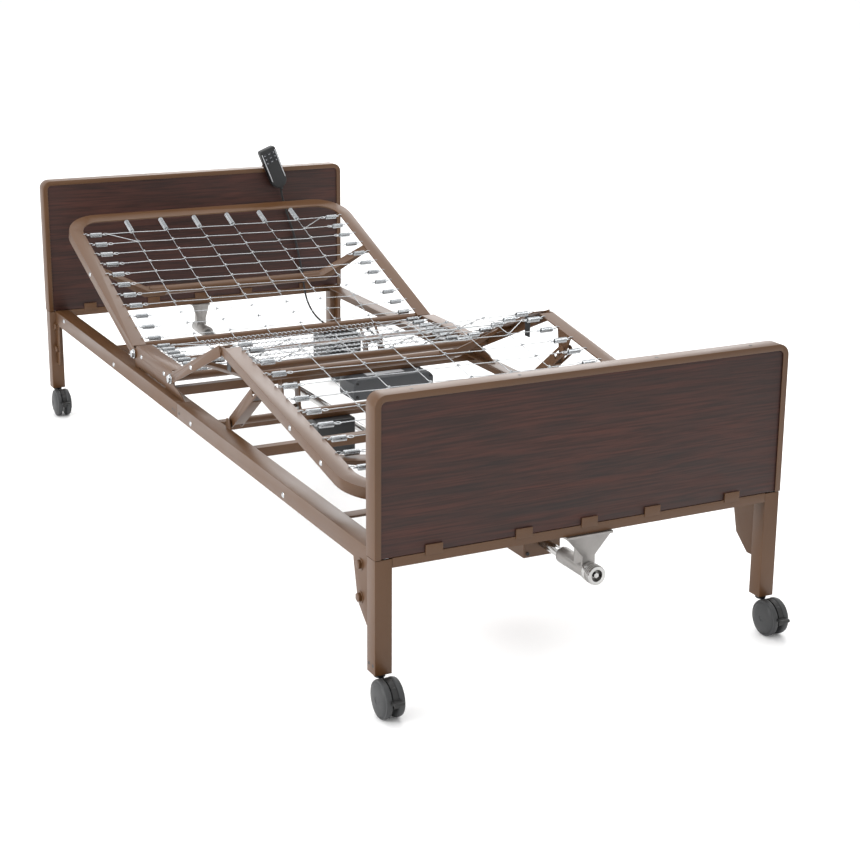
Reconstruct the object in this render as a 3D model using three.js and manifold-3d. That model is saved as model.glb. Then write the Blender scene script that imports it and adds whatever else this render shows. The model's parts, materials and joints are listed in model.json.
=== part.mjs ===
// Full-electric adjustable hospital bed with a split frame, link-wire sleep surface,
// telescoping legs and twin-wheel casters. Millimetres, +Z up, head end towards +Y.
// The back and knee sections are built raised, as the bed stands at rest.
import * as THREE from 'three';
import { mergeVertices } from 'three/addons/utils/BufferGeometryUtils.js';
import Module from 'manifold-3d';

const wasm = await Module();
wasm.setup();

// ---------------------------------------------------------------- driving dimensions
const BED_WIDTH = 914;
const BED_LENGTH = 2235;
const GAP = 0.4; // clearance between neighbouring pieces

// Bed ends
const END_DEPTH = 39;
const SHEET = 2;
const LIP = 13;
const PANEL_BOTTOM = 303;
const FOOTBOARD_TOP = 615;
const HEADBOARD_TOP = 679;
const CORNER_RADIUS = 24;

// Telescoping legs
const LEG_TUBE = 35;
const LEG_WALL = 3;
const LEG_BOTTOM = 76;
const INNER_LEG = 26;
const INNER_LEG_TOP = 500;

// Casters
const WHEEL_RADIUS = 38;
const WHEEL_WIDTH = 18;
const CASTER_TRAIL = 36;

// Side rails and cross bars
const RAIL_OUTER = 440;
const RAIL_TOP = 305;
const RAIL_HEIGHT = 38;
const RAIL_FLANGE = 40;
const RAIL_SHEET = 3;
const SPLICE_Y = 20;
// Widths of the end plates at their bottom, at the bend and where they meet the rail
const FOOT_PLATE = { foot: 36, knee: 76, top: 96 };
const HEAD_PLATE = { foot: 24, knee: 26, top: 32 };
const CROSS_BAR = 22;
const CROSS_BAR_TOP = RAIL_TOP - RAIL_SHEET - GAP;
// Each bar's place along the bed and how far it sits below the rail flanges.
const CROSS_BARS = { head: [620, 0], seat: [175, 0], knee: [-150, 0], calf: [-330, 13.5] };

// Deck sections: an upright flange outside, a flat flange on top
const SECTION_OUTER = 425;
const SECTION_SHEET = 3;
const TOP_FLANGE = 38;
const DECK_RISE = 13; // top of the deck above its hinge line
const DECK_DROP = 12; // bottom of the upright flange below the hinge line
const PIN_RADIUS = 5;

const BACK_HINGE = { y: 393, z: 337 };
const THIGH_HINGE = { y: 108, z: 341 };
const BACK_LENGTH = 675;
const THIGH_LENGTH = 379.5;
const CALF_LENGTH = 725;
const BACK_ANGLE = 20.5; // degrees above flat at rest
const THIGH_ANGLE = 23.3;
const CALF_PER_THIGH = 1.44; // calf turn at the knee for each degree of thigh
const BACK_RANGE = 66;
const THIGH_RANGE = 36;

// Knee link, from its pivot on the side rail to the slot that holds the calf frame's pin
const LINK_PIVOT = { y: -222, z: 318 };
const LINK_OUTER = 396;
const LINK_WIDTH = 26;
const CALF_PIN = { y: 133, drop: 44.5 }; // from the knee, along and below the calf frame
const LINK_SLOT = { from: 172, to: 194, half: 7 };

// Actuators: slotted levers on the sections, pulled by rods that run level
const ROD_HEIGHT = 228;
const BACK_ROD_X = 240;
const KNEE_ROD_X = -120;
const ROD_RADIUS = 11;
const ROD_PIN_RADIUS = 5;

// High-low drive
const DRIVE_HEIGHT = 209;
const DRIVE_HOUSING = { front: -941, back: -760, half: 43, bottom: 179 };

// Spring fabric
const LENGTHWISE_WIRES = [-260, -156, -52, 52, 156, 260];
const WIRE = 3;

const RADIAN = Math.PI / 180;
const OVERHANG_FOOT = CASTER_TRAIL + WHEEL_RADIUS - END_DEPTH / 2;
const HOOK_OVERHANG = 3.5;
const FOOT_FACE = -BED_LENGTH / 2;
const HEAD_FACE = BED_LENGTH / 2;
const LEG_X = BED_WIDTH / 2 - LEG_TUBE / 2 - 1;
const FOOT_LEG_Y = FOOT_FACE + END_DEPTH / 2;
const HEAD_LEG_Y = HEAD_FACE - END_DEPTH / 2;

// ---------------------------------------------------------------- materials
function finish(color, roughness, metalness) {
  return new THREE.MeshStandardMaterial({ color, roughness, metalness });
}

const enamel = finish('#8b6d55', 0.38, 0.1);
const walnut = finish('#43302a', 0.5, 0);
const zinc = finish('#b9bcbd', 0.3, 0.9);
const casting = finish('#a3a6a6', 0.45, 0.8);
const chrome = finish('#c9cccf', 0.12, 1);
const blackPlastic = finish('#1d1e20', 0.5, 0);
const darkHousing = finish('#47484b', 0.6, 0);
const casterGrey = finish('#5a5b5c', 0.55, 0);
const stemBlack = finish('#262726', 0.45, 0.2);
const buttonGrey = finish('#33353a', 0.55, 0);

// ---------------------------------------------------------------- solid helpers
function toSolid(geometry) {
  const bare = geometry.clone();
  bare.deleteAttribute('normal');
  bare.deleteAttribute('uv');
  const merged = mergeVertices(bare, 1e-4);
  const vertProperties = new Float32Array(merged.attributes.position.array);
  const triVerts = new Uint32Array(merged.index.array);
  return new wasm.Manifold(new wasm.Mesh({ numProp: 3, vertProperties, triVerts }));
}

function toGeometry(solid) {
  const { vertProperties, triVerts } = solid.getMesh();
  const geometry = new THREE.BufferGeometry();
  geometry.setAttribute('position', new THREE.BufferAttribute(vertProperties, 3));
  geometry.setIndex(new THREE.BufferAttribute(triVerts, 1));
  geometry.computeVertexNormals();
  return geometry;
}

function join(...geometries) {
  return toGeometry(geometries.map(toSolid).reduce((sum, next) => sum.add(next)));
}

function cut(geometry, ...tools) {
  return toGeometry(tools.map(toSolid).reduce((rest, tool) => rest.subtract(tool), toSolid(geometry)));
}

function box(x, y, z) {
  const geometry = new THREE.BoxGeometry(x[1] - x[0], y[1] - y[0], z[1] - z[0]);
  return geometry.translate((x[0] + x[1]) / 2, (y[0] + y[1]) / 2, (z[0] + z[1]) / 2);
}

function rodAlongX(radius, from, to, y, z, sides = 16) {
  const geometry = new THREE.CylinderGeometry(radius, radius, to - from, sides);
  return geometry.rotateZ(Math.PI / 2).translate((from + to) / 2, y, z);
}

function rodAlongY(radius, from, to, x, z, sides = 20) {
  const geometry = new THREE.CylinderGeometry(radius, radius, to - from, sides);
  return geometry.translate(x, (from + to) / 2, z);
}

function rodAlongZ(radius, from, to, x, y, sides = 20) {
  const geometry = new THREE.CylinderGeometry(radius, radius, to - from, sides);
  return geometry.rotateX(Math.PI / 2).translate(x, y, (from + to) / 2);
}

function extrude(shape, depth) {
  return new THREE.ExtrudeGeometry(shape, { depth, bevelEnabled: false, curveSegments: 6 });
}

// A profile drawn as (y, z), run along X.
function alongX(shape, from, to) {
  const turn = new THREE.Matrix4().set(0, 0, 1, from, 1, 0, 0, 0, 0, 1, 0, 0, 0, 0, 0, 1);
  return extrude(shape, to - from).applyMatrix4(turn);
}

// A profile drawn as (x, z), run along Y.
function alongY(shape, from, to) {
  return extrude(shape, to - from).rotateX(Math.PI / 2).translate(0, to, 0);
}

// A profile drawn as (x, y), run along Z.
function alongZ(shape, from, to) {
  return extrude(shape, to - from).translate(0, 0, from);
}

function polygon(points) {
  return new THREE.Shape(points.map(([u, v]) => new THREE.Vector2(u, v)));
}

function rectangle(u0, u1, v0, v1) {
  return polygon([[u0, v0], [u1, v0], [u1, v1], [u0, v1]]);
}

function mirrorX(geometry) {
  const flipped = mergeVertices(geometry).scale(-1, 1, 1);
  const order = Array.from(flipped.index.array);
  for (let i = 0; i < order.length; i += 3) [order[i], order[i + 1]] = [order[i + 1], order[i]];
  flipped.setIndex(order);
  return flipped;
}

function squareTube(size, wall) {
  const shape = rectangle(-size / 2, size / 2, -size / 2, size / 2);
  const inside = size / 2 - wall;
  shape.holes.push(rectangle(-inside, inside, -inside, inside));
  return shape;
}

const bed = new THREE.Group();
bed.position.y = (OVERHANG_FOOT - HOOK_OVERHANG) / 2;

function place(name, geometry, material, group = bed) {
  const mesh = new THREE.Mesh(geometry, material);
  mesh.name = name;
  group.add(mesh);
  return mesh;
}

// ---------------------------------------------------------------- bed ends
// An inverted U of sheet steel with a web and two lips, rounded at the top corners.
function trimOutline(top, inset) {
  const half = BED_WIDTH / 2 - inset;
  const radius = CORNER_RADIUS - inset;
  const outline = new THREE.Shape();
  outline.moveTo(-half, PANEL_BOTTOM);
  outline.lineTo(half, PANEL_BOTTOM);
  outline.lineTo(half, top - inset - radius);
  outline.absarc(half - radius, top - inset - radius, radius, 0, Math.PI / 2, false);
  outline.lineTo(-half + radius, top - inset);
  outline.absarc(-half + radius, top - inset - radius, radius, Math.PI / 2, Math.PI, false);
  return outline;
}

function endTrim(top, near) {
  const far = near + END_DEPTH;
  const whole = alongY(trimOutline(top, 0), near, far);
  const hollow = alongY(trimOutline(top, SHEET), near + SHEET, far - SHEET);
  const window = alongY(trimOutline(top, LIP), near - 1, far + 1);
  const below = box([-BED_WIDTH, BED_WIDTH], [near - 1, far + 1], [PANEL_BOTTOM - 5, PANEL_BOTTOM + 1]);
  const open = cut(whole, hollow, window, below);
  return open;
}

// Two wood-grain faces folded over at the top, hollow between them for the inner legs.
function endPanel(top, near) {
  const inset = SHEET + GAP;
  const face = 3;
  const from = near + inset;
  const to = near + END_DEPTH - inset;
  const half = BED_WIDTH / 2 - inset;
  const outline = polygon([
    [from, PANEL_BOTTOM + 2], [from + face, PANEL_BOTTOM + 2],
    [from + face, top - inset - face], [to - face, top - inset - face],
    [to - face, PANEL_BOTTOM + 2], [to, PANEL_BOTTOM + 2],
    [to, top - inset], [from, top - inset],
  ]);
  const corners = alongY(trimOutline(top, inset), near - 1, near + END_DEPTH + 1);
  return toGeometry(toSolid(alongX(outline, -half, half)).intersect(toSolid(corners)));
}

// The bottom rail carries the panel and the five clips that hold each of its faces.
function bottomRail(near) {
  const from = near + 2;
  const to = near + END_DEPTH - 2;
  const reach = LEG_X - LEG_TUBE / 2 - GAP;
  const clips = [];
  for (const x of [-336, -145, 0, 145, 336]) {
    clips.push(box([x - 18, x + 18], [near - 0.5, from + 0.2], [299, 319]));
    clips.push(box([x - 18, x + 18], [to - 0.2, near + END_DEPTH + 0.5], [299, 319]));
  }
  const rail = alongX(rectangle(from, to, 285, PANEL_BOTTOM + 1), -reach, reach);
  return join(rail, ...clips);
}

function endAssembly(name, top, near, legY) {
  place(`${name}_trim`, endTrim(top, near), enamel);
  place(`${name}_panel`, endPanel(top, near), walnut);
  place(`${name}_bottom_rail`, bottomRail(near), enamel);
  for (const [side, x] of [['left', -LEG_X], ['right', LEG_X]]) {
    const tube = alongZ(squareTube(LEG_TUBE, LEG_WALL), LEG_BOTTOM, PANEL_BOTTOM - GAP);
    place(`${name}_leg_${side}`, tube.translate(x, legY, 0), enamel);
  }
}

// ---------------------------------------------------------------- legs and casters
function innerLeg() {
  const tube = alongZ(squareTube(INNER_LEG, 2), LEG_BOTTOM + 2, INNER_LEG_TOP);
  const plug = box([-12.5, 12.5], [-12.5, 12.5], [LEG_BOTTOM + 1, LEG_BOTTOM + 30]);
  const socket = rodAlongZ(6, LEG_BOTTOM, LEG_BOTTOM + 27, 0, 0, 16);
  return cut(join(tube, plug), socket);
}

// Hood over and between the two wheels, with the swivel stem on top.
function casterHousing() {
  const hoodHalf = 5;
  const hood = new THREE.Shape();
  hood.moveTo(-CASTER_TRAIL - 30, WHEEL_RADIUS - 12);
  hood.lineTo(-CASTER_TRAIL + 22, WHEEL_RADIUS - 12);
  hood.lineTo(9, WHEEL_RADIUS + 10);
  hood.lineTo(9, WHEEL_RADIUS + 31);
  hood.lineTo(-9, WHEEL_RADIUS + 31);
  hood.absarc(-CASTER_TRAIL, WHEEL_RADIUS, 31, 60 * RADIAN, 170 * RADIAN, false);
  const web = alongX(hood, -hoodHalf, hoodHalf);
  const collar = rodAlongZ(11, WHEEL_RADIUS + 29.5, LEG_BOTTOM - 0.5, 0, 0);
  const stem = rodAlongZ(5.6, LEG_BOTTOM - 2, LEG_BOTTOM + 24, 0, 0, 16);
  const axle = rodAlongX(5.5, -20, 20, -CASTER_TRAIL, WHEEL_RADIUS, 16);
  return cut(join(web, collar, stem), axle);
}

// Two rounded discs on one axle.
function casterWheels() {
  const inner = 6;
  const profile = [
    [0, inner], [WHEEL_RADIUS, inner], [WHEEL_RADIUS, inner + 10],
    [WHEEL_RADIUS - 9, inner + WHEEL_WIDTH], [0, inner + WHEEL_WIDTH],
  ].map(([r, h]) => new THREE.Vector2(r, h));
  const disc = new THREE.LatheGeometry(profile, 24).rotateZ(-Math.PI / 2);
  const outer = disc.clone();
  const opposite = disc.rotateY(Math.PI);
  const axle = rodAlongX(5, -inner - 1, inner + 1, 0, 0, 16);
  return join(outer, opposite, axle).translate(0, -CASTER_TRAIL, WHEEL_RADIUS);
}

function cornerLegs() {
  const corners = [
    ['foot_left', -LEG_X, FOOT_LEG_Y], ['foot_right', LEG_X, FOOT_LEG_Y],
    ['head_left', -LEG_X, HEAD_LEG_Y], ['head_right', LEG_X, HEAD_LEG_Y],
  ];
  for (const [corner, x, y] of corners) {
    const group = new THREE.Group();
    group.position.set(x, y, 0);
    bed.add(group);
    place(`inner_leg_${corner}`, innerLeg(), zinc, group);
    place(`caster_housing_${corner}`, casterHousing(), stemBlack, group);
    place(`caster_wheels_${corner}`, casterWheels(), casterGrey, group);
  }
}

// ---------------------------------------------------------------- side rails and cross bars
// The upright flange runs down at its end into the plate that holds to the leg.
function railProfile(end, splice, plate) {
  const toEnd = Math.sign(end);
  const tip = end - toEnd * GAP;
  const bottom = RAIL_TOP - RAIL_HEIGHT;
  return polygon([
    [splice, RAIL_TOP], [tip, RAIL_TOP], [tip, 149],
    [tip - toEnd * plate.foot, 149], [tip - toEnd * plate.knee, 183], [tip - toEnd * plate.top, bottom],
    [splice, bottom],
  ]);
}

function sideRail(end, splice, plate, bracket) {
  const upright = alongX(railProfile(end, splice, plate), -RAIL_OUTER, -RAIL_OUTER + RAIL_SHEET);
  const ends = [splice, end - Math.sign(end) * GAP].sort((a, b) => a - b);
  const flange = box([-RAIL_OUTER, -RAIL_OUTER + RAIL_FLANGE], ends, [RAIL_TOP - RAIL_SHEET, RAIL_TOP]);
  return join(upright, flange, ...bracket);
}

// Upright tab with the pin that the knee link turns on.
function linkBracket() {
  const inner = -RAIL_OUTER + RAIL_FLANGE;
  const { y, z } = LINK_PIVOT;
  const tab = alongX(
    polygon([[y - 16, RAIL_TOP - 2], [y + 16, RAIL_TOP - 2], [y + 9, z + 9], [y - 9, z + 9]]),
    inner - 3, inner,
  );
  return [tab, rodAlongX(PIN_RADIUS, inner - 2, -LINK_OUTER + 6, y, z)];
}

function sideRails() {
  const footEnd = FOOT_FACE + END_DEPTH - 2;
  const headEnd = HEAD_FACE - END_DEPTH + 2;
  const foot = sideRail(footEnd, SPLICE_Y - GAP, FOOT_PLATE, linkBracket());
  const head = sideRail(headEnd, SPLICE_Y, HEAD_PLATE, []);
  place('side_rail_foot_left', foot, enamel);
  place('side_rail_foot_right', mirrorX(foot), enamel);
  place('side_rail_head_left', head, enamel);
  place('side_rail_head_right', mirrorX(head), enamel);
}

function crossBars() {
  const reach = RAIL_OUTER - RAIL_SHEET - GAP;
  for (const [name, [y, drop]] of Object.entries(CROSS_BARS)) {
    const tube = alongX(squareTube(CROSS_BAR, 2), -reach, reach);
    place(`cross_bar_${name}`, tube.translate(0, y, CROSS_BAR_TOP - drop - CROSS_BAR / 2), enamel);
  }
}

// ---------------------------------------------------------------- seat
// Two upright plates on the rails, tied by two low bars, with the hinge pins of both sections.
function seatPlate() {
  const outer = -SECTION_OUTER + SECTION_SHEET + GAP;
  const top = 361;
  const round = 13;
  const plate = new THREE.Shape();
  plate.moveTo(22, RAIL_TOP + GAP);
  plate.lineTo(158, RAIL_TOP + GAP);
  plate.lineTo(158, RAIL_TOP + 4);
  plate.lineTo(360, RAIL_TOP + 4);
  plate.lineTo(360, RAIL_TOP + GAP);
  plate.lineTo(BACK_HINGE.y, RAIL_TOP + GAP);
  plate.absarc(BACK_HINGE.y, BACK_HINGE.z, round, -60 * RADIAN, 100 * RADIAN, false);
  plate.lineTo(376, top);
  plate.lineTo(112, top);
  plate.lineTo(96, 352);
  plate.lineTo(93, 327);
  plate.lineTo(60, 322);
  const upright = alongX(plate, outer, outer + SECTION_SHEET);
  const flange = box([outer, outer + TOP_FLANGE], [112, 376], [top - SECTION_SHEET, top]);
  const pins = [BACK_HINGE, THIGH_HINGE].flatMap(({ y, z }) => [
    rodAlongX(PIN_RADIUS, -SECTION_OUTER - 3, outer + 1, y, z),
    rodAlongX(8, -SECTION_OUTER - 4, -SECTION_OUTER - GAP, y, z),
  ]);
  return join(upright, flange, ...pins);
}

function seatFrame() {
  const left = seatPlate();
  const reach = SECTION_OUTER - SECTION_SHEET - 2;
  const ties = [172, 350].map((y) => box([-reach, reach], [y - 11, y + 11], [319, 324]));
  place('seat_frame', join(left, mirrorX(left), ...ties), enamel);
}

// ---------------------------------------------------------------- moving deck sections
// Each section is drawn flat, from its hinge towards +Y (reach > 0) or -Y (reach < 0).
function sectionGroup(y, z, degrees, parent = bed) {
  const group = new THREE.Group();
  group.position.set(0, y, z);
  group.rotation.x = degrees * RADIAN;
  parent.add(group);
  return group;
}

// Upright flange with an ear round the hinge pin.
function sideFlange(outer, reach, ear) {
  const way = Math.sign(reach);
  const shape = new THREE.Shape();
  shape.moveTo(reach, DECK_RISE);
  shape.lineTo(reach, -DECK_DROP);
  shape.lineTo(0, -ear);
  shape.absarc(0, 0, ear, -90 * RADIAN, 90 * RADIAN, way > 0);
  shape.lineTo(way * (ear + 4), DECK_RISE);
  return alongX(shape, -outer, -outer + SECTION_SHEET);
}

// A round tube across the section with flattened ends that rise to the side flanges.
function crossTube(y, drop, halfWidth) {
  const level = DECK_RISE - SECTION_SHEET + 1;
  const ends = [-1, 1].map((side) => {
    const outline = [
      [halfWidth, level], [halfWidth, level - 7], [halfWidth - 40, level - 13],
      [halfWidth - 150, -drop - 9], [halfWidth - 210, -drop - 9],
      [halfWidth - 210, -drop + 9], [halfWidth - 160, -drop + 9],
      [halfWidth - 42, level - 6], [halfWidth - 32, level],
    ].map(([x, z]) => [side * x, z]);
    return alongY(polygon(outline), y - 14, y + 14);
  });
  const reach = halfWidth - 168;
  return join(rodAlongX(13, -reach, reach, y, -drop, 14), ...ends);
}

// Two slotted plates that hang from a section and take the rod's cross pin, with a
// round tube across the section that carries them.
function slottedLever(x, angle, near, far, tube) {
  const width = 28;
  const cheeks = [x - 24, x + 20].flatMap((from) => {
    const shape = rectangle(-width / 2, width / 2, -far - 14, -22);
    shape.holes.push(rectangle(-9, 9, -far - 6, -near + 6));
    const foot = polygon([[-width / 2, -22], [-width / 2, -40], [width / 2, -40], [width / 2, -22]]);
    return [alongX(shape, from, from + 4), alongX(foot, from, from + 4)];
  });
  const bridge = box([x - 24, x + 24], [-width / 2, width / 2], [-40, -24]);
  const lever = join(...cheeks, bridge).rotateX(angle * RADIAN);
  const root = new THREE.Vector2(0, -30).rotateAround(new THREE.Vector2(), angle * RADIAN);
  const braces = [x - 24, x + 20].map((from) => alongX(
    polygon([[root.x - 11, root.y], [root.x + 11, root.y], [tube.y + 9, tube.z], [tube.y - 9, tube.z]]),
    from, from + 4,
  ));
  const carrier = rodAlongX(10, -SECTION_OUTER + 1, SECTION_OUTER - 1, tube.y, tube.z, 14);
  return join(lever, ...braces, carrier);
}

// The open hoop of the back and calf sections: two sides and a round-cornered end.
function hoop(outer, length, way) {
  const radius = 95;
  const inside = radius - TOP_FLANGE;
  const begin = way * 17;
  const end = way * length;
  const top = new THREE.Shape();
  const turn = (r, x, from, to) => top.absarc(x, end - way * radius, r, from, to, way < 0);
  const cornerX = outer - radius;
  top.moveTo(outer, begin);
  top.lineTo(outer, end - way * radius);
  turn(radius, cornerX, 0, way * Math.PI / 2);
  turn(radius, -cornerX, way * Math.PI / 2, way * Math.PI);
  top.lineTo(-outer, begin);
  top.lineTo(-outer + TOP_FLANGE, begin);
  const back = (r, x, from, to) => top.absarc(x, end - way * radius, r, from, to, way > 0);
  back(inside, -cornerX, way * Math.PI, way * Math.PI / 2);
  back(inside, cornerX, way * Math.PI / 2, 0);
  top.lineTo(outer - TOP_FLANGE, begin);
  return top;
}

function hoopRim(outer, length, way) {
  const radius = 95;
  const end = way * length;
  const cornerX = outer - radius;
  const thin = SECTION_SHEET;
  const rim = new THREE.Shape();
  rim.moveTo(outer, end - way * (radius + 60));
  rim.lineTo(outer, end - way * radius);
  rim.absarc(cornerX, end - way * radius, radius, 0, way * Math.PI / 2, way < 0);
  rim.absarc(-cornerX, end - way * radius, radius, way * Math.PI / 2, way * Math.PI, way < 0);
  rim.lineTo(-outer, end - way * (radius + 60));
  rim.lineTo(-outer + thin, end - way * (radius + 60));
  rim.absarc(-cornerX, end - way * radius, radius - thin, way * Math.PI, way * Math.PI / 2, way > 0);
  rim.absarc(cornerX, end - way * radius, radius - thin, way * Math.PI / 2, 0, way > 0);
  rim.lineTo(outer - thin, end - way * (radius + 60));
  return rim;
}

function hoopFrame(outer, length, way, ear) {
  const side = sideFlange(outer, way * (length - 95), ear);
  const flat = alongZ(hoop(outer, length, way), DECK_RISE - SECTION_SHEET, DECK_RISE);
  const rim = alongZ(hoopRim(outer, length, way), -DECK_DROP, DECK_RISE);
  return join(side, mirrorX(side), flat, rim);
}

function pinHoles(outer) {
  const hole = rodAlongX(PIN_RADIUS + 0.35, -outer - 2, -outer + 5, 0, 0);
  return [hole, mirrorX(hole)];
}

function backFrame(group) {
  const lever = slottedLever(BACK_ROD_X, -BACK_RANGE / 2, 109, 132, { y: 34, z: -2 });
  const tube = crossTube(388, 72, SECTION_OUTER - 4);
  const whole = join(hoopFrame(SECTION_OUTER, BACK_LENGTH, 1, 12), tube, lever);
  place('back_frame', cut(whole, ...pinHoles(SECTION_OUTER)), enamel, group);
}

function thighFrame(group) {
  const side = sideFlange(SECTION_OUTER, -THIGH_LENGTH, 12);
  const top = box(
    [-SECTION_OUTER, -SECTION_OUTER + TOP_FLANGE], [-THIGH_LENGTH + 14, -17],
    [DECK_RISE - SECTION_SHEET, DECK_RISE],
  );
  const kneePin = rodAlongX(PIN_RADIUS, -SECTION_OUTER + 1, -SECTION_OUTER + 12, -THIGH_LENGTH, 0);
  const left = join(side, top);
  const lever = slottedLever(KNEE_ROD_X, THIGH_RANGE / 2, 113, 122, { y: -34, z: -2 });
  const tube = crossTube(-165, 40, SECTION_OUTER - 4);
  const bored = cut(join(left, mirrorX(left), tube, lever), ...pinHoles(SECTION_OUTER));
  place('thigh_frame', join(bored, kneePin, mirrorX(kneePin)), enamel, group);
}

function calfFrame(group) {
  const outer = SECTION_OUTER - SECTION_SHEET - GAP;
  const tabX = -LINK_OUTER + 9;
  const tab = alongX(
    polygon([
      [-CALF_PIN.y - 30, 11], [-CALF_PIN.y + 30, 11],
      [-CALF_PIN.y + 9, -CALF_PIN.drop - 9], [-CALF_PIN.y - 9, -CALF_PIN.drop - 9],
    ]),
    tabX, tabX + 3.4,
  );
  const pin = rodAlongX(4, -LINK_OUTER - 3, tabX + 14, -CALF_PIN.y, -CALF_PIN.drop, 12);
  const frame = cut(hoopFrame(outer, CALF_LENGTH, -1, 9), ...pinHoles(outer));
  const hanger = join(tab, pin);
  const tube = crossTube(-560, 20, outer - 4);
  place('calf_frame', join(frame, tube, hanger, mirrorX(hanger)), enamel, group);
}

// U channels on a shared torque tube: a round hole at the rail, a slot at the calf frame's pin.
function kneeLink() {
  const half = 13;
  const cheek = new THREE.Shape();
  const tip = LINK_SLOT.to + 6;
  cheek.absarc(0, 0, half, -90 * RADIAN, 90 * RADIAN, false);
  cheek.lineTo(-tip, half);
  cheek.absarc(-tip, 0, half, 90 * RADIAN, 270 * RADIAN, false);
  const { from, to, half: slotHalf } = LINK_SLOT;
  cheek.holes.push(rectangle(-to - 6, -from + 6, -slotHalf, slotHalf));
  const outerCheek = alongX(cheek, -LINK_OUTER, -LINK_OUTER + 2.5);
  const innerCheek = alongX(cheek, -LINK_OUTER + LINK_WIDTH - 2.5, -LINK_OUTER + LINK_WIDTH);
  const web = box([-LINK_OUTER, -LINK_OUTER + LINK_WIDTH], [-150, -16], [-half, -half + 2.5]);
  const channel = cut(
    join(outerCheek, innerCheek, web), rodAlongX(PIN_RADIUS + 0.4, -LINK_OUTER - 2, -LINK_OUTER + 8, 0, 0),
  );
  const tube = rodAlongX(8, -LINK_OUTER + LINK_WIDTH - 1, LINK_OUTER - LINK_WIDTH + 1, 0, 0, 14);
  return join(channel, mirrorX(channel), tube);
}

// ---------------------------------------------------------------- spring fabric
// Half the outline of one crosswise wire's end: the hook, then the coil spring's width.
function springEnd(y, side, halfWidth) {
  const hook = halfWidth - 8;
  const coil = halfWidth - 48;
  const last = LENGTHWISE_WIRES.at(-1) + WIRE / 2;
  const lower = [
    [last, y - WIRE / 2], [coil, y - WIRE / 2], [coil, y - 6], [hook, y - 6],
    [hook, y - WIRE / 2], [halfWidth, y - WIRE / 2],
  ];
  const upper = lower.map(([x, v]) => [x, 2 * y - v]).reverse();
  const right = [...lower, ...upper];
  return side > 0 ? right : right.map(([x, v]) => [-x, v]).reverse();
}

// A net of crosswise and lengthwise wires cut as one sheet, with a spring at each side.
function springFabric(from, to, crosswise, level, halfWidth) {
  const half = WIRE / 2;
  const across = [...crosswise].sort((a, b) => a - b);
  const stub = (x, end, base) => [[x - half, base], [x - half, end], [x + half, end], [x + half, base]];
  const outline = [
    ...LENGTHWISE_WIRES.flatMap((x) => stub(x, from, across[0] - half)),
    ...across.flatMap((y) => springEnd(y, 1, halfWidth)),
    ...LENGTHWISE_WIRES.flatMap((x) => stub(x, to, across.at(-1) + half)).reverse(),
    ...[...across].reverse().flatMap((y) => springEnd(y, -1, halfWidth)),
  ];
  const corners = outline.filter(([x, y], i) => {
    const [before, below] = outline.at(i - 1);
    return Math.hypot(x - before, y - below) > 0.01;
  });
  const meshes = [];
  for (let i = 1; i < across.length; i += 1) {
    for (let j = 1; j < LENGTHWISE_WIRES.length; j += 1) {
      meshes.push(box(
        [LENGTHWISE_WIRES[j - 1] + half, LENGTHWISE_WIRES[j] - half],
        [across[i - 1] + half, across[i] - half], [level - 1, level + WIRE + 1],
      ));
    }
  }
  return cut(alongZ(polygon(corners), level, level + WIRE), ...meshes);
}

function evenly(first, last, count) {
  return Array.from({ length: count }, (_, i) => first + ((last - first) * i) / (count - 1));
}

const FABRIC_LEVEL = DECK_RISE - SECTION_SHEET - 0.5;

function fabrics(backGroup, thighGroup, calfGroup) {
  const sideEdge = SECTION_OUTER - TOP_FLANGE - GAP;
  const calfEdge = sideEdge - SECTION_SHEET - GAP;
  const back = springFabric(10, 634, evenly(70, 575, 11), FABRIC_LEVEL, sideEdge);
  place('back_springs', back, zinc, backGroup);
  const seat = springFabric(118, 380, evenly(145, 352, 4), 354, calfEdge);
  place('seat_springs', seat, zinc);
  const thigh = springFabric(-366, -8, evenly(-338, -62, 5), FABRIC_LEVEL, sideEdge);
  place('thigh_springs', thigh, zinc, thighGroup);
  const calf = springFabric(-CALF_LENGTH + 41, -10, evenly(-40, -596, 10), FABRIC_LEVEL, calfEdge);
  place('calf_springs', calf, zinc, calfGroup);
}

// ---------------------------------------------------------------- actuators and drive
function actuatorMotor(x, mouth, face, back) {
  const way = Math.sign(back - mouth);
  const ends = [face, back].sort((a, b) => a - b);
  const tubeEnds = [mouth, face + way * 2].sort((a, b) => a - b);
  const bore = [mouth - way * 5, back - way * 28].sort((a, b) => a - b);
  const housing = box([x - 48, x + 48], ends, [193, CROSS_BAR_TOP - CROSS_BAR - GAP]);
  const guide = rodAlongY(17, ...tubeEnds, x, ROD_HEIGHT);
  return cut(join(housing, guide), rodAlongY(ROD_RADIUS + 1, ...bore, x, ROD_HEIGHT));
}

function actuatorRod(x, pin, tail) {
  const shaft = rodAlongY(ROD_RADIUS, ...[pin, tail].sort((a, b) => a - b), x, ROD_HEIGHT);
  const head = rodAlongX(15, x - 16, x + 16, pin, ROD_HEIGHT, 18);
  const crossPin = rodAlongX(ROD_PIN_RADIUS, x - 30, x + 30, pin, ROD_HEIGHT, 14);
  return join(shaft, head, crossPin);
}

function actuators() {
  const backPin = BACK_HINGE.y + 109 * Math.tan((BACK_ANGLE - BACK_RANGE / 2) * RADIAN);
  const kneePin = THIGH_HINGE.y - 113 * Math.tan((THIGH_ANGLE - THIGH_RANGE / 2) * RADIAN);
  place('back_motor', actuatorMotor(BACK_ROD_X, 492, 562, 682), blackPlastic);
  place('back_rod', actuatorRod(BACK_ROD_X, backPin, backPin + 182), chrome);
  place('knee_motor', actuatorMotor(KNEE_ROD_X, 42, -68, -188), blackPlastic);
  place('knee_rod', actuatorRod(KNEE_ROD_X, kneePin, kneePin - 150), chrome);
}

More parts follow.
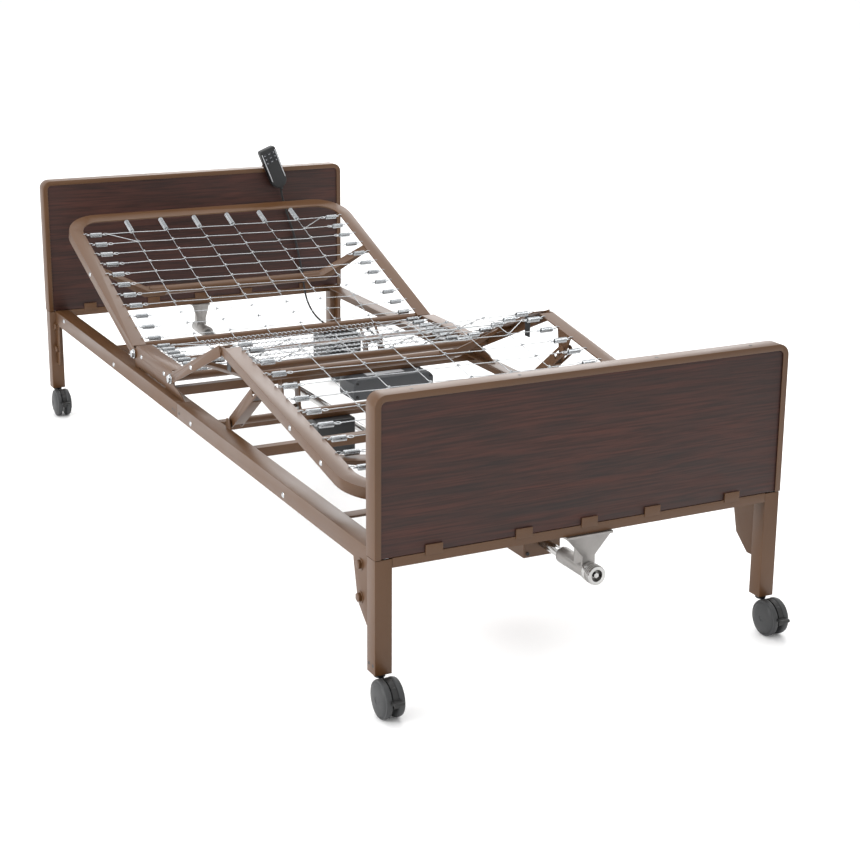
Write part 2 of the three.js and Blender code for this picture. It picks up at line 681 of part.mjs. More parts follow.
// Cast worm box under the bottom rail, bored for the drive shaft.
function gearBox(name, way, railY, half) {
  const inner = railY - way * 75;
  const flange = box([-half, half], [railY - 24, railY + 16], [280, 285 - GAP]);
  const web = alongY(polygon([[2 - half, 281], [half - 2, 281], [14, 240], [14, 210], [-14, 210], [-14, 240]]),
    railY - 20, railY - 14);
  const neck = rodAlongZ(15, DRIVE_HEIGHT, 281, 0, railY - way * 6);
  const barrel = rodAlongY(17, ...[inner, railY + way * 22].sort((a, b) => a - b), 0, DRIVE_HEIGHT);
  const bore = rodAlongY(8, ...[inner - way * 5, railY + way * 30].sort((a, b) => a - b), 0, DRIVE_HEIGHT);
  place(name, cut(join(flange, web, neck, barrel), bore), casting);
}

function highLowDrive() {
  gearBox('foot_gear_box', -1, FOOT_LEG_Y, 52);
  gearBox('head_gear_box', 1, HEAD_LEG_Y, 27);
  const { front, back, half, bottom } = DRIVE_HOUSING;
  const reach = RAIL_OUTER - RAIL_SHEET - GAP;
  const channel = box([-half, half], [front, back], [bottom, CROSS_BAR_TOP - 1]);
  const strap = box([-reach, reach], [-870, -840], [CROSS_BAR_TOP - 5, CROSS_BAR_TOP]);
  place('high_low_motor', join(channel, strap), enamel);
  const footInner = FOOT_LEG_Y + 75;
  const footShaft = join(
    rodAlongY(10, footInner + GAP, front - GAP, 0, DRIVE_HEIGHT),
    rodAlongY(7.4, FOOT_FACE - 6, footInner + 2, 0, DRIVE_HEIGHT),
    rodAlongY(19, FOOT_FACE - 33, FOOT_LEG_Y - 23, 0, DRIVE_HEIGHT, 28),
  );
  const socket = rodAlongY(12, FOOT_FACE - 34, FOOT_FACE - 14, 0, DRIVE_HEIGHT, 16);
  const dog = rodAlongY(6, FOOT_FACE - 31, FOOT_FACE - 10, 0, DRIVE_HEIGHT, 6);
  place('foot_drive_shaft', join(cut(footShaft, socket), dog), chrome);
  const headInner = HEAD_LEG_Y - 75;
  const headShaft = join(
    rodAlongY(10, back + GAP, headInner - GAP, 0, DRIVE_HEIGHT),
    rodAlongY(7.4, headInner - 2, HEAD_LEG_Y + 14, 0, DRIVE_HEIGHT),
  );
  place('head_drive_shaft', headShaft, chrome);
}

function controlBox() {
  const top = CROSS_BAR_TOP - CROSS_BAR - GAP;
  const shell = alongY(polygon([[62, 224], [288, 224], [288, top - 12], [276, top], [74, top], [62, top - 12]]),
    112, 206);
  const gland = rodAlongY(6, 205, 218, 270, 244, 16);
  place('control_box', join(shell, gland), darkHousing);
}

// ---------------------------------------------------------------- handset
const HANDSET = { x: 232, y: 1064, z: 681, length: 126, width: 52, thick: 24, tilt: 22 };
const HANDSET_FRONT = -HANDSET.thick / 2;
const BUTTON = { width: 11, height: 8, pitchX: 15, pitchZ: 12, top: 46, stand: 1.5, seat: 2.5 };

function handsetShell() {
  const { length, width, thick } = HANDSET;
  const half = width / 2;
  const body = new THREE.Shape();
  body.moveTo(-half, length / 2);
  body.lineTo(-half + 1, -length / 2 + 30);
  body.absarc(0, -length / 2 + 24, 24, Math.PI, 2 * Math.PI, false);
  body.lineTo(half, length / 2);
  const shell = alongY(body, -thick / 2, thick / 2);
  const pockets = [];
  for (const column of [-1, 0, 1]) {
    for (const row of [0, 1, 2]) {
      const x = column * BUTTON.pitchX;
      const z = BUTTON.top - row * BUTTON.pitchZ;
      pockets.push(box(
        [x - BUTTON.width / 2 - 0.3, x + BUTTON.width / 2 + 0.3], [HANDSET_FRONT - 1, HANDSET_FRONT + 4.5],
        [z - BUTTON.height / 2 - 0.3, z + BUTTON.height / 2 + 0.3],
      ));
    }
  }
  const boot = rodAlongZ(5, -length / 2 - 8, -length / 2 + 4, 0, 0, 16);
  return cut(join(shell, boot), ...pockets);
}

function handset() {
  const { x, y, z, thick, tilt } = HANDSET;
  const group = new THREE.Group();
  group.position.set(x, y, z);
  group.rotation.y = -tilt * RADIAN;
  bed.add(group);
  const hookTop = HEADBOARD_TOP + GAP;
  const hook = join(
    box([x - 14, x + 22], [y + thick / 2 - 2, HEAD_FACE + HOOK_OVERHANG], [hookTop, hookTop + 3]),
    box([x - 14, x + 22], [HEAD_FACE + 0.5, HEAD_FACE + HOOK_OVERHANG], [hookTop - 22, hookTop + 3]),
  );
  const shell = handsetShell().rotateY(-tilt * RADIAN).translate(x, y, z);
  place('handset_shell', join(shell, hook), blackPlastic);
  for (const [c, column] of ['left', 'middle', 'right'].entries()) {
    for (const [r, row] of ['top', 'centre', 'bottom'].entries()) {
      const bx = (c - 1) * BUTTON.pitchX;
      const bz = BUTTON.top - r * BUTTON.pitchZ;
      const cap = box(
        [bx - BUTTON.width / 2, bx + BUTTON.width / 2],
        [HANDSET_FRONT - BUTTON.stand, HANDSET_FRONT + BUTTON.seat],
        [bz - BUTTON.height / 2, bz + BUTTON.height / 2],
      );
      place(`button_${row}_${column}`, cap, buttonGrey, group);
    }
  }
}

// The cord drops between the headboard and the back section, then runs under the deck.
function handsetCord() {
  const route = [
    [256.5, 1064.5, 613], [262, 1069, 590], [276, 1073, 545], [300, 1073, 470], [318, 1073, 390],
    [328, 1071, 322], [332, 1049, 266], [333, 980, 232], [334, 860, 223], [334, 740, 240],
    [334, 670, 266], [334, 620, 275.5], [334, 570, 266], [333, 480, 236], [330, 390, 224],
    [318, 305, 225], [294, 253, 237], [274, 233, 243.5], [270, 219, 244],
  ].map(([x, y, z]) => new THREE.Vector3(x, y, z));
  const path = new THREE.CatmullRomCurve3(route, false, 'centripetal');
  const section = new THREE.Shape();
  section.absarc(0, 0, 3, 0, 2 * Math.PI, false);
  const cord = new THREE.ExtrudeGeometry(section, { steps: 56, extrudePath: path, curveSegments: 4 });
  place('handset_cord', cord, blackPlastic);
}

// ---------------------------------------------------------------- assembly
endAssembly('foot_end', FOOTBOARD_TOP, FOOT_FACE, FOOT_LEG_Y);
endAssembly('head_end', HEADBOARD_TOP, HEAD_FACE - END_DEPTH, HEAD_LEG_Y);
cornerLegs();
sideRails();
crossBars();
seatFrame();

const backGroup = sectionGroup(BACK_HINGE.y, BACK_HINGE.z, BACK_ANGLE);
const thighGroup = sectionGroup(THIGH_HINGE.y, THIGH_HINGE.z, -THIGH_ANGLE);
const calfGroup = sectionGroup(-THIGH_LENGTH, 0, CALF_PER_THIGH * THIGH_ANGLE, thighGroup);
backFrame(backGroup);
thighFrame(thighGroup);
calfFrame(calfGroup);

const LINK_FLAT = -7.36;
const LINK_PER_THIGH = 1.89;
const linkGroup = sectionGroup(LINK_PIVOT.y, LINK_PIVOT.z, -(LINK_FLAT + LINK_PER_THIGH * THIGH_ANGLE));
place('knee_link', kneeLink(), enamel, linkGroup);

fabrics(backGroup, thighGroup, calfGroup);
actuators();
highLowDrive();
controlBox();
handset();
handsetCord();

export default bed;
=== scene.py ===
"""Adjustable home-care hospital bed: finishes and fine pieces over its CAD frame, in metres."""

import json
import logging
from dataclasses import dataclass, field
from enum import Enum
from math import cos, pi, radians, sin

import bmesh
import bpy
from mathutils import Matrix, Vector


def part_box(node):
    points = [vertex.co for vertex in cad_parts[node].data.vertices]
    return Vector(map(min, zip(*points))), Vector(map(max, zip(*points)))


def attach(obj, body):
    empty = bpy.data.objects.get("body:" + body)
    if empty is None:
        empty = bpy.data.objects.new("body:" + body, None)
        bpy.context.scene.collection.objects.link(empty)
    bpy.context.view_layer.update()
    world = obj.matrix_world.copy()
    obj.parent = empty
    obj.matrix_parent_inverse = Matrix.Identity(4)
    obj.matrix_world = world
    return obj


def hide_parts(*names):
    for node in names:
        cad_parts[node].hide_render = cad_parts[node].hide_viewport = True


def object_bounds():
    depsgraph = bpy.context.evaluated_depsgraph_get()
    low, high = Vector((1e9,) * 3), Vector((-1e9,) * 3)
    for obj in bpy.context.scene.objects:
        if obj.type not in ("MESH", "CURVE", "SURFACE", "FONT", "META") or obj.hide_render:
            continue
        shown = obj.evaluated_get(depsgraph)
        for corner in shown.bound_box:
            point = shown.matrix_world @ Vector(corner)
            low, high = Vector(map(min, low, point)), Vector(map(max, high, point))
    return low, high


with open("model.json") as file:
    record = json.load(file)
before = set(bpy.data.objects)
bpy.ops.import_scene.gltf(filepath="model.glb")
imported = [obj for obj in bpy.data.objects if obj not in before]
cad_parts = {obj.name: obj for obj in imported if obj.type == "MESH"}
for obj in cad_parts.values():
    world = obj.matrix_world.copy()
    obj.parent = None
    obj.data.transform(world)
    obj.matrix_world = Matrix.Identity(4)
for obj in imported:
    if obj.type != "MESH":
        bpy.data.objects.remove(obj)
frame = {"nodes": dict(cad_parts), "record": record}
CAD_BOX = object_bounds()
BEHAVIOUR = frame["record"]["behaviour"]
JOINTS = {joint["name"]: joint for joint in BEHAVIOUR["joints"]}
BODY_OF = {node: body for body, nodes in BEHAVIOUR["bodies"].items() for node in nodes}
SLOT_OF = {part["node"]: part["material_slot"] for part in frame["record"]["subparts"]}
log = logging.getLogger("hospital_bed")


def linear(code: str) -> tuple[float, float, float, float]:
    """Turns an sRGB hex colour into linear RGBA.

    Args:
        code: six hex digits after a hash.

    Returns:
        Linear red, green, blue and an alpha of 1.
    """
    channels = [int(code[i : i + 2], 16) / 255 for i in (1, 3, 5)]
    flat = [c / 12.92 if c <= 0.04045 else ((c + 0.055) / 1.055) ** 2.4 for c in channels]
    return (flat[0], flat[1], flat[2], 1.0)


def add(
    tree: bpy.types.NodeTree, kind: str, settings: dict | None = None, **inputs: object
) -> bpy.types.Node:
    """Adds one shader node, sets its options, and sets or links its sockets.

    Args:
        tree: the material's node tree.
        kind: the node's type, without the ShaderNode prefix.
        settings: the node's own options.
        inputs: socket names with underscores for spaces; a node or socket is linked.

    Returns:
        The new node.
    """
    node = tree.nodes.new("ShaderNode" + kind)
    for key, value in (settings or {}).items():
        setattr(node, key, value)
    for key, value in inputs.items():
        words = key.replace("_", " ")
        socket = node.inputs[int(key[1:])] if key[1:].isdigit() else node.inputs[words]
        if isinstance(value, bpy.types.Node):
            tree.links.new(value.outputs[0], socket)
        elif isinstance(value, bpy.types.NodeSocket):
            tree.links.new(value, socket)
        else:
            socket.default_value = value
    return node


@dataclass(frozen=True)
class Finish:
    """A surface whose tone, gloss and relief come from three-dimensional noise."""

    name: str
    slot: str
    dark: str
    light: str
    roughness: tuple[float, float] = (0.35, 0.5)
    metallic: float = 0.0
    coat: float = 0.0
    patch_mm: float = 160.0
    grit_mm: float = 2.4
    relief_mm: float = 0.03
    sheen: float = 0.5

    def start(self) -> tuple[bpy.types.Material, bpy.types.NodeTree, bpy.types.Node]:
        """Makes the empty material, its shader and its output.

        Returns:
            The material, its node tree and its Principled shader.
        """
        material = bpy.data.materials.new(self.name)
        material.use_nodes = True
        tree = material.node_tree
        tree.nodes.clear()
        shader = add(
            tree, "BsdfPrincipled", Metallic=self.metallic, Coat_Weight=self.coat,
            Specular_IOR_Level=self.sheen,
        )
        add(tree, "OutputMaterial", Surface=shader)
        return material, tree, shader

    def build(self) -> bpy.types.Material:
        """Builds the material: mottled tone, broken gloss and a fine grain of relief.

        Returns:
            The finished material.
        """
        material, tree, shader = self.start()
        place = add(tree, "TexCoord").outputs["Object"]
        patch = add(tree, "TexNoise", Vector=place, Scale=1000 / self.patch_mm, Detail=4.0)
        grit = add(tree, "TexNoise", Vector=place, Scale=1000 / self.grit_mm, Detail=3.0)
        tone = add(
            tree, "Mix", {"data_type": "RGBA"}, _0=patch, _6=linear(self.dark), _7=linear(self.light)
        )
        gloss = add(
            tree, "MapRange", Value=patch, From_Min=0.3, From_Max=0.7,
            To_Min=self.roughness[0], To_Max=self.roughness[1],
        )
        relief = add(tree, "Bump", Height=grit, Strength=0.5, Distance=self.relief_mm / 1000)
        tree.links.new(tone.outputs["Result"], shader.inputs["Base Color"])
        tree.links.new(gloss.outputs[0], shader.inputs["Roughness"])
        tree.links.new(relief.outputs[0], shader.inputs["Normal"])
        return material


@dataclass(frozen=True)
class WoodGrain(Finish):
    """Printed walnut laminate: long dark pores and wide figure running across the bed."""

    figure_mm: float = 20.0
    pore_mm: float = 4.0

    def build(self) -> bpy.types.Material:
        """Builds streaks stretched along X, with pores pressed in slightly.

        Returns:
            The finished material.
        """
        material, tree, shader = self.start()
        place = add(tree, "TexCoord").outputs["Object"]
        along = add(tree, "Mapping", Vector=place, Scale=(0.09, 1.0, 1.0))
        wander = add(tree, "TexNoise", Vector=along, Scale=1000 / 90, Detail=3.0)
        bent = add(tree, "VectorMath", {"operation": "SCALE"}, _0=wander.outputs["Color"], Scale=0.03)
        path = add(tree, "VectorMath", {"operation": "ADD"}, _0=along, _1=bent)
        figure = add(
            tree, "TexNoise", Vector=path, Scale=1000 / self.figure_mm, Detail=6.0, Roughness=0.62
        )
        thin = add(tree, "Mapping", Vector=path, Scale=(0.35, 1.0, 1.0))
        pores = add(tree, "TexNoise", Vector=thin, Scale=1000 / self.pore_mm, Detail=2.0)
        ramp = add(tree, "ValToRGB", Fac=figure)
        ramp.color_ramp.elements[0].position = 0.32
        ramp.color_ramp.elements[0].color = linear(self.dark)
        ramp.color_ramp.elements[1].position = 0.7
        ramp.color_ramp.elements[1].color = linear(self.light)
        lines = add(
            tree, "MapRange", Value=pores, From_Min=0.36, From_Max=0.6, To_Min=0.6, To_Max=1.12
        )
        tone = add(tree, "Mix", {"data_type": "RGBA", "blend_type": "MULTIPLY"}, _0=1.0, _6=ramp)
        tree.links.new(lines.outputs[0], tone.inputs[7])
        gloss = add(
            tree, "MapRange", Value=figure, From_Min=0.3, From_Max=0.7,
            To_Min=self.roughness[0], To_Max=self.roughness[1],
        )
        relief = add(tree, "Bump", Height=pores, Strength=0.4, Distance=self.relief_mm / 1000)
        tree.links.new(tone.outputs["Result"], shader.inputs["Base Color"])
        tree.links.new(gloss.outputs[0], shader.inputs["Roughness"])
        tree.links.new(relief.outputs[0], shader.inputs["Normal"])
        return material


class Surface(Enum):
    """Every finish on the bed, by what it really is."""

    # Baked brown powder coat: satin, with the slight orange peel of sprayed enamel.
    BROWN_ENAMEL = Finish(
        "brown_powder_coat", "enamel", "#4a301a", "#593c22",
        (0.34, 0.44), 0.0, 0.0, 220, 3.0, 0.035, 0.42,
    )
    # Pressed laminate, dull, with open pores that catch the light.
    WALNUT = WoodGrain(
        "walnut_laminate", "walnut", "#25120d", "#42221a", (0.46, 0.6), 0.0, 0.0, 200, 3.0, 0.05, 0.36
    )
    # Bright zinc plate on drawn wire.
    ZINC_WIRE = Finish(
        "zinc_plated_wire", "zinc", "#909396", "#cdd0d2", (0.16, 0.28), 1.0, 0.0, 60, 2.0, 0.02
    )
    # Die-cast zinc, tumbled, grainy between its ribs.
    CASTING = Finish(
        "die_cast_zinc", "casting", "#767371", "#aba8a5", (0.3, 0.46), 0.95, 0.0, 50, 1.6, 0.12
    )
    # Ground and chromed shaft.
    CHROME = Finish(
        "chromed_steel", "chrome", "#9c9b9a", "#cfcecc", (0.08, 0.2), 1.0, 0.0, 70, 1.5, 0.008
    )
    # Moulded ABS with a spark-eroded texture.
    BLACK_ABS = Finish(
        "black_moulded_abs", "black_plastic", "#0e0f10", "#17181a", (0.38, 0.55), 0.0, 0.0, 60, 1.2, 0.04
    )
    # Fire-resistant polycarbonate case.
    GREY_CASE = Finish(
        "dark_grey_polycarbonate", "dark_housing", "#35373a", "#45474a",
        (0.45, 0.6), 0.0, 0.0, 70, 1.4, 0.05,
    )
    # Nylon wheel with the dust it picks up.
    GREY_NYLON = Finish(
        "grey_moulded_nylon", "caster_grey", "#262728", "#353637", (0.42, 0.6), 0.0, 0.0, 30, 1.5, 0.05
    )
    # Blackened swivel stem and hood.
    BLACK_OXIDE = Finish(
        "black_oxide_steel", "stem_black", "#1d1d1d", "#2b2b2b", (0.35, 0.5), 0.3, 0.0, 40, 1.5, 0.03
    )
    # Silicone key.
    KEY_GREY = Finish(
        "grey_silicone_key", "button_grey", "#1e2024", "#2a2c31", (0.5, 0.65), 0.0, 0.0, 20, 1.0, 0.02
    )
    # White ink and blank label film.
    WHITE_INK = Finish(
        "white_print", "button_grey", "#a9abae", "#c2c4c6", (0.45, 0.55), 0.0, 0.0, 30, 1.0, 0.01
    )
    # Studio floor.
    FLOOR = Finish(
        "pale_studio_floor", "enamel", "#f8f8f8", "#fbfbfb", (0.6, 0.7), 0.0, 0.0, 900, 8.0, 0.02
    )


MATERIALS: dict[Surface, bpy.types.Material] = {}


def material_of(surface: Surface) -> bpy.types.Material:
    """Gives a surface's material, built once."""
    if surface not in MATERIALS:
        MATERIALS[surface] = surface.value.build()
    return MATERIALS[surface]


def place_object(name: str, data: bpy.types.ID, surface: Surface, body: str | None) -> bpy.types.Object:
    """Puts mesh or curve data in the scene, dressed and riding on its body.

    Args:
        name: the piece's name.
        data: a mesh or a curve, already in place.
        surface: its finish.
        body: the CAD body it moves with, or None for a stage piece.

    Returns:
        The new object.
    """
    piece = bpy.data.objects.new(name, data)
    bpy.context.scene.collection.objects.link(piece)
    data.materials.append(material_of(surface))
    if body is None:
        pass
    else:
        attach(piece, body)
    return piece


def solid(
    name: str, form: bmesh.types.BMesh, surface: Surface, body: str | None, angle: float = 35
) -> bpy.types.Object:
    """Closes a bmesh into a piece with smooth shading broken at sharp edges.

    Args:
        name: the piece's name.
        form: the finished bmesh, which is freed.
        surface: its finish.
        body: the CAD body it moves with.
        angle: edges sharper than this many degrees stay crisp.

    Returns:
        The new object.
    """
    bmesh.ops.recalc_face_normals(form, faces=form.faces)
    mesh = bpy.data.meshes.new(name)
    form.to_mesh(mesh)
    form.free()
    mesh.shade_smooth()
    mesh.set_sharp_from_angle(angle=radians(angle))
    return place_object(name, mesh, surface, body)


def facing(origin: Vector, direction: Vector) -> Matrix:
    """Gives the turn and shift that take the Z axis to a direction at an origin."""
    return Matrix.Translation(origin) @ direction.to_track_quat("Z", "Y").to_matrix().to_4x4()


def repeat(template: bpy.types.Mesh, matrices: list[Matrix], form: bmesh.types.BMesh) -> None:
    """Adds a copy of a mesh to a bmesh at each placement.

    Args:
        template: the shape to repeat.
        matrices: one placement for each copy.
        form: the bmesh that takes the copies.
    """
    for matrix in matrices:
        before = len(form.verts)
        form.from_mesh(template)
        form.verts.ensure_lookup_table()
        bmesh.ops.transform(form, matrix=matrix, verts=form.verts[before:])


def lathe(
    form: bmesh.types.BMesh, profile: list[tuple[float, float]], matrix: Matrix, steps: int
) -> None:
    """Turns a profile of (radius, height) about the placement's Z axis.

    Args:
        form: the bmesh that takes the shape.
        profile: radius and height of each corner, from the axis back to the axis.
        matrix: where the turned shape goes.
        steps: faces round the turn.
    """
    made = [form.verts.new((radius, 0.0, height)) for radius, height in profile]
    edges = [form.edges.new(pair) for pair in zip(made, made[1:])]
    before = set(form.verts) - set(made)
    bmesh.ops.spin(
        form, geom=made + edges, cent=(0, 0, 0), axis=(0, 0, 1), angle=2 * pi, steps=steps,
        use_merge=True,
    )
    new = [vert for vert in form.verts if vert not in before]
    bmesh.ops.remove_doubles(form, verts=new, dist=1e-6)
    new = [vert for vert in form.verts if vert not in before]
    bmesh.ops.transform(form, matrix=matrix, verts=new)


def block(
    form: bmesh.types.BMesh, low: tuple, high: tuple, edge: float = 0.001, matrix: Matrix | None = None
) -> None:
    """Adds a box with rounded edges.

    Args:
        form: the bmesh that takes it.
        low: its lowest corner.
        high: its highest corner.
        edge: the radius of its edges.
        matrix: a turn or shift of the finished box.
    """
    low, high = Vector(low), Vector(high)
    size = high - low
    place = Matrix.Translation((low + high) / 2) @ Matrix.Diagonal((*size, 1.0))
    corners = bmesh.ops.create_cube(form, size=1.0, matrix=place)["verts"]
    sides = list({side for vert in corners for side in vert.link_edges})
    cut = bmesh.ops.bevel(
        form, geom=corners + sides, offset=edge, offset_type="OFFSET", segments=2, profile=0.5,
        affect="EDGES", clamp_overlap=True, material=-1,
    )
    if matrix is not None:
        verts = list({vert for face in cut["faces"] for vert in face.verts})
        bmesh.ops.transform(form, matrix=matrix, verts=verts)


def tubes(
    name: str, runs: list[list[Vector]], gauge: float, surface: Surface, body: str, sides: int = 1
) -> bpy.types.Object:
    """Draws round wires through rows of points.

    Args:
        name: the piece's name.
        runs: the points of each wire.
        gauge: the wire's radius.
        surface: its finish.
        body: the CAD body it moves with.
        sides: Blender's bevel resolution, where 1 is a hexagon's worth of sides.

    Returns:
        The curve object.
    """
    curve = bpy.data.curves.new(name, "CURVE")
    curve.dimensions = "3D"
    curve.bevel_depth = gauge
    curve.bevel_resolution = sides
    curve.use_fill_caps = True
    for run in runs:
        spline = curve.splines.new("POLY")
        spline.points.add(len(run) - 1)
        for point, spot in zip(spline.points, run):
            point.co = (*spot, 1.0)
        spline.use_smooth = True
    return place_object(name, curve, surface, body)


def smoothed(points: list[Vector], steps: int) -> list[Vector]:
    """Runs a smooth curve through points.

    Args:
        points: the points to pass through.
        steps: pieces between each two points.

    Returns:
        Points along the curve.
    """
    ends = [2 * points[0] - points[1], *points, 2 * points[-1] - points[-2]]
    run = []
    for before, start, end, after in zip(ends, ends[1:], ends[2:], ends[3:]):
        for step in range(steps):
            t = step / steps
            run.append(
                0.5 * (2 * start + (end - before) * t + (2 * before - 5 * start + 4 * end - after) * t**2
                       + (3 * start - before - 3 * end + after) * t**3)
            )
    return run + [points[-1]]


@dataclass
class PressedMetal:
    """CAD solids shown with the small radius that a press, saw or mould leaves on their edges."""

    surfaces: dict[str, Surface] = field(default_factory=lambda: {
        "enamel": Surface.BROWN_ENAMEL, "walnut": Surface.WALNUT, "zinc": Surface.ZINC_WIRE,
        "casting": Surface.CASTING, "chrome": Surface.CHROME, "black_plastic": Surface.BLACK_ABS,
        "dark_housing": Surface.GREY_CASE, "caster_grey": Surface.GREY_NYLON,
        "stem_black": Surface.BLACK_OXIDE, "button_grey": Surface.KEY_GREY,
    })
    edge: float = 0.0009

    def build(self, left_out: set[str]) -> None:
        """Rounds and dresses every node except those that other classes rebuild."""
        for node in frame["nodes"]:
            if node not in left_out:
                self.rounded(node, 0.0035 if "motor" in node or node == "control_box" else self.edge)

    def rounded(self, node: str, edge: float) -> bpy.types.Object:
        """Makes a merged, round-edged copy of a node that stands for it.

        Args:
            node: the CAD node's name.
            edge: the radius of its edges.

        Returns:
            The copy.
        """
        form = bmesh.new()
        form.from_mesh(frame["nodes"][node].data)
        bmesh.ops.remove_doubles(form, verts=form.verts, dist=2e-5)
        bmesh.ops.dissolve_limit(
            form, angle_limit=radians(0.8), verts=form.verts, edges=form.edges,
            use_dissolve_boundaries=False,
        )
        mesh = bpy.data.meshes.new(node + "_finished")
        form.to_mesh(mesh)
        form.free()
        mesh.shade_smooth()
        piece = place_object(node + "_finished", mesh, self.surfaces[SLOT_OF[node]], BODY_OF[node])
        bevel = piece.modifiers.new("edge", "BEVEL")
        bevel.width = edge
        bevel.segments = 2
        bevel.limit_method = "ANGLE"
        bevel.angle_limit = radians(32)
        bevel.harden_normals = True
        bevel.use_clamp_overlap = True
        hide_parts(node)
        return piece


@dataclass(frozen=True)
class Section:
    """One part of the deck: its body, its hinge line and how far it is turned at rest."""

    name: str
    body: str
    origin: Vector
    turn: Matrix

    def at(self, x: float, y: float, z: float) -> Vector:
        """Takes a point from the section, laid flat at its hinge, to its place."""
        return self.origin + self.turn @ Vector((x, y, z))

    def matrix(self, x: float, y: float, z: float, direction: Vector) -> Matrix:
        """Gives a placement in the section with its Z axis along a flat direction."""
        return facing(self.at(x, y, z), self.turn @ direction)


def sections() -> dict[str, Section]:
    """Reads the four deck sections from the record's hinges."""
    back = Vector(JOINTS["back_raise"]["pos_m"])
    thigh = Vector(JOINTS["thigh_raise"]["pos_m"])
    knee = Vector(JOINTS["knee_bend"]["pos_m"])
    seat = Vector((0.0, thigh.y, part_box("seat_springs")[0].z - 0.0095))
    turn = {name: Matrix.Rotation(radians(angle), 3, "X")
            for name, angle in (("back", 20.5), ("seat", 0.0), ("thigh", -23.3), ("calf", 10.252))}
    return {
        "back": Section("back", "back", back, turn["back"]),
        "seat": Section("seat", "frame", seat, turn["seat"]),
        "thigh": Section("thigh", "thigh", thigh, turn["thigh"]),
        "calf": Section("calf", "calf", knee, turn["calf"]),
    }


